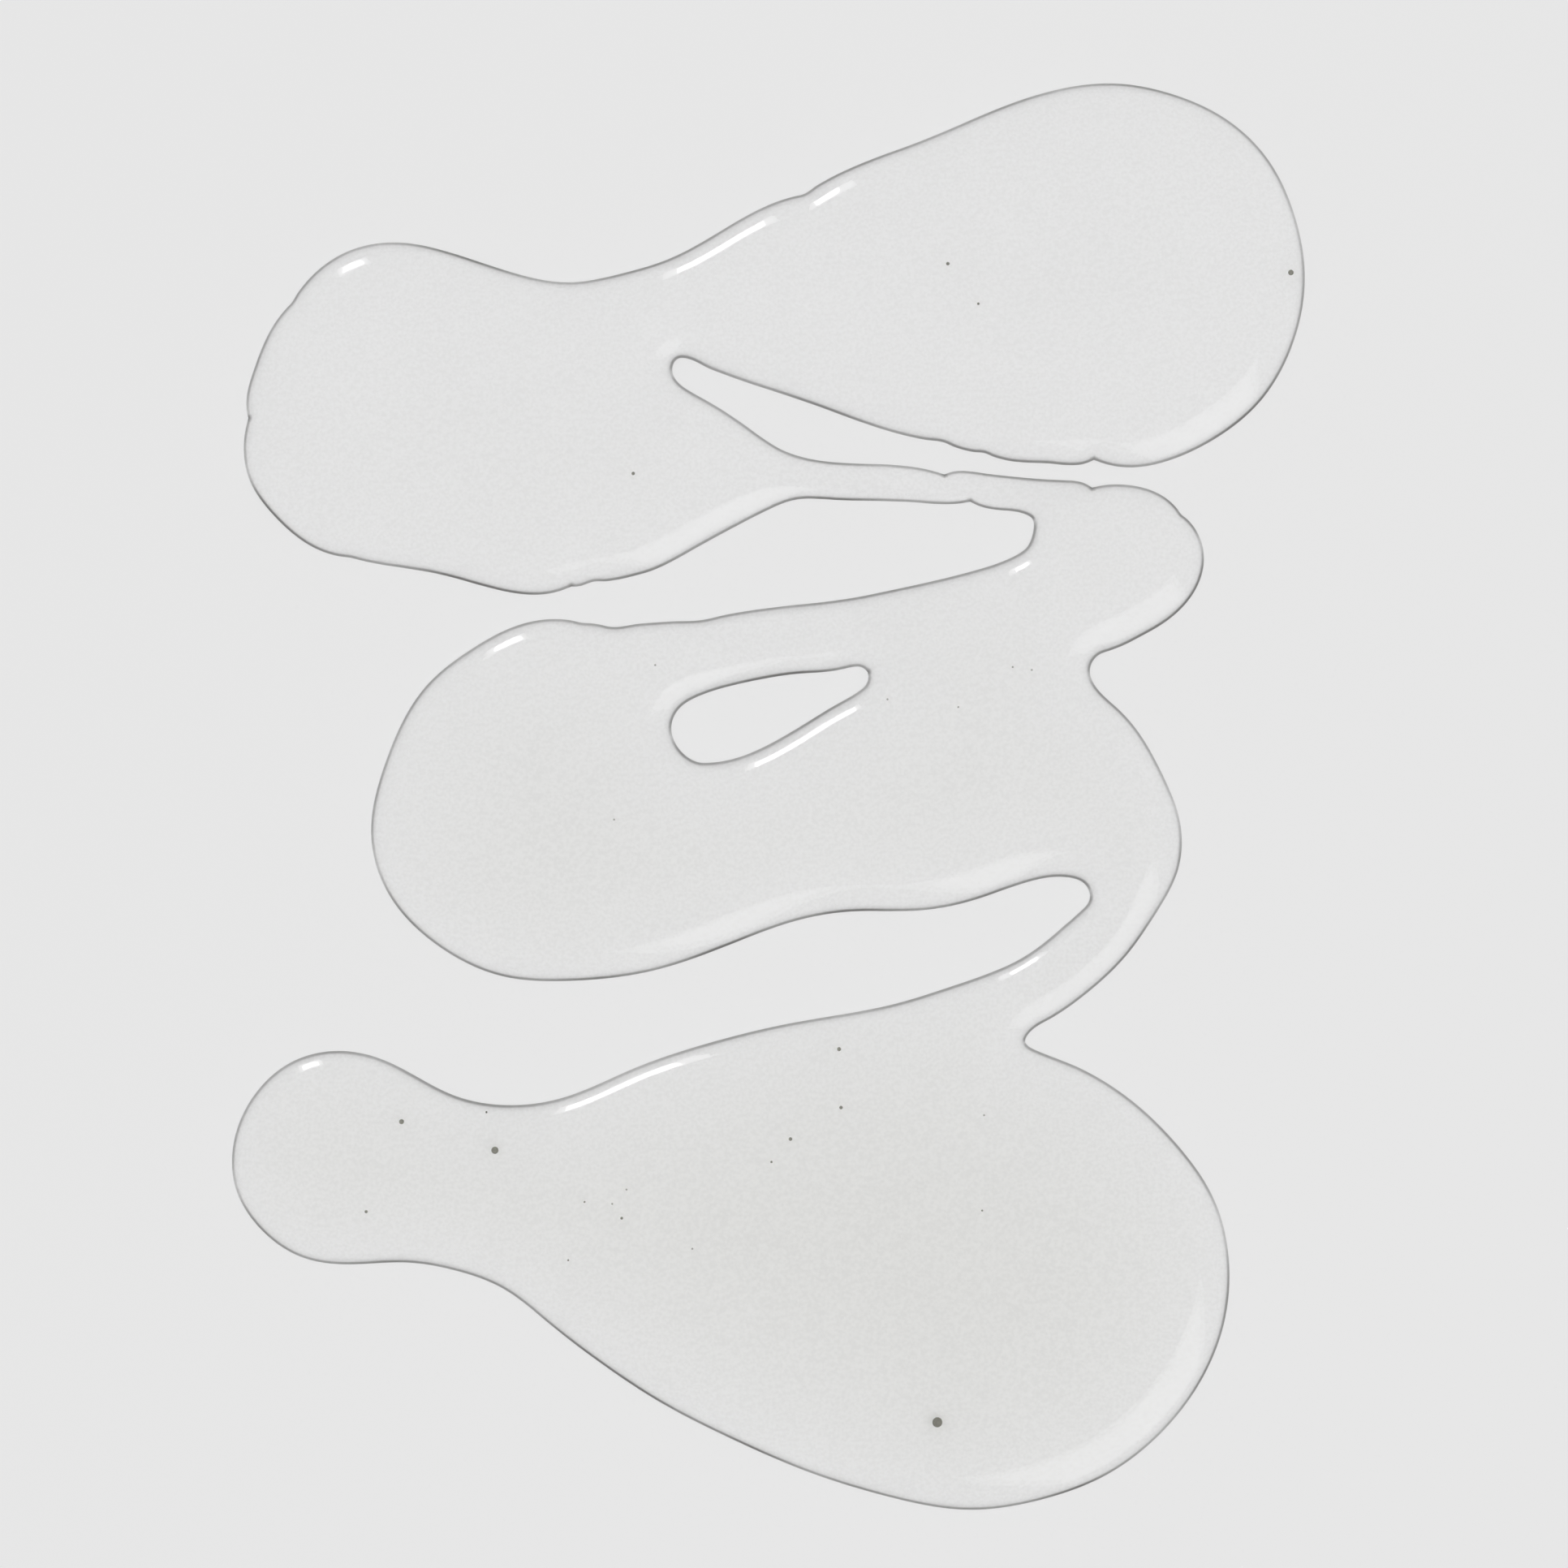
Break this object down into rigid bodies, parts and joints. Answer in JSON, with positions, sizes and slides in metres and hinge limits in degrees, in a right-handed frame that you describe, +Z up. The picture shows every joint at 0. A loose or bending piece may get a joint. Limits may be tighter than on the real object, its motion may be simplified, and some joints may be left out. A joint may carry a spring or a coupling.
{
  "type": "clear gel smear",
  "caption": "Flat smear of clear gel laid in a zigzag: rounded lobes, narrow necks, a teardrop hole, domed shiny edges and trapped air bubbles.",
  "frame": {"origin": "centre of the bounding box's bottom face, on the surface that the gel lies on", "axes": "+X to the right and +Y from the foot lobe to the crown lobes in plan view, +Z up out of the surface"},
  "size_m": [0.1128, 0.15, 0.0019],
  "materials": {
    "clear_gel": "wet gloss",
    "trapped_air": "clear"
  },
  "bodies": {
    "root": {"gel_body": "clear_gel", "bubble_foot_heel": "trapped_air", "bubble_foot_front": "trapped_air", "bubble_foot_collar": "trapped_air", "bubble_foot_collar_right": "trapped_air", "bubble_foot_collar_left": "trapped_air", "bubble_foot_middle": "trapped_air", "bubble_instep_right": "trapped_air", "bubble_instep_left": "trapped_air", "bubble_instep_low": "trapped_air", "bubble_toe_right": "trapped_air", "bubble_toe_upper": "trapped_air", "bubble_toe_middle": "trapped_air", "bubble_toe_low": "trapped_air", "bubble_right_crown_rim": "trapped_air", "bubble_right_crown_left": "trapped_air", "bubble_right_crown_right": "trapped_air", "bubble_left_crown": "trapped_air", "microbubbles_foot": "trapped_air", "microbubbles_middle": "trapped_air"}
  },
  "joints": []
}
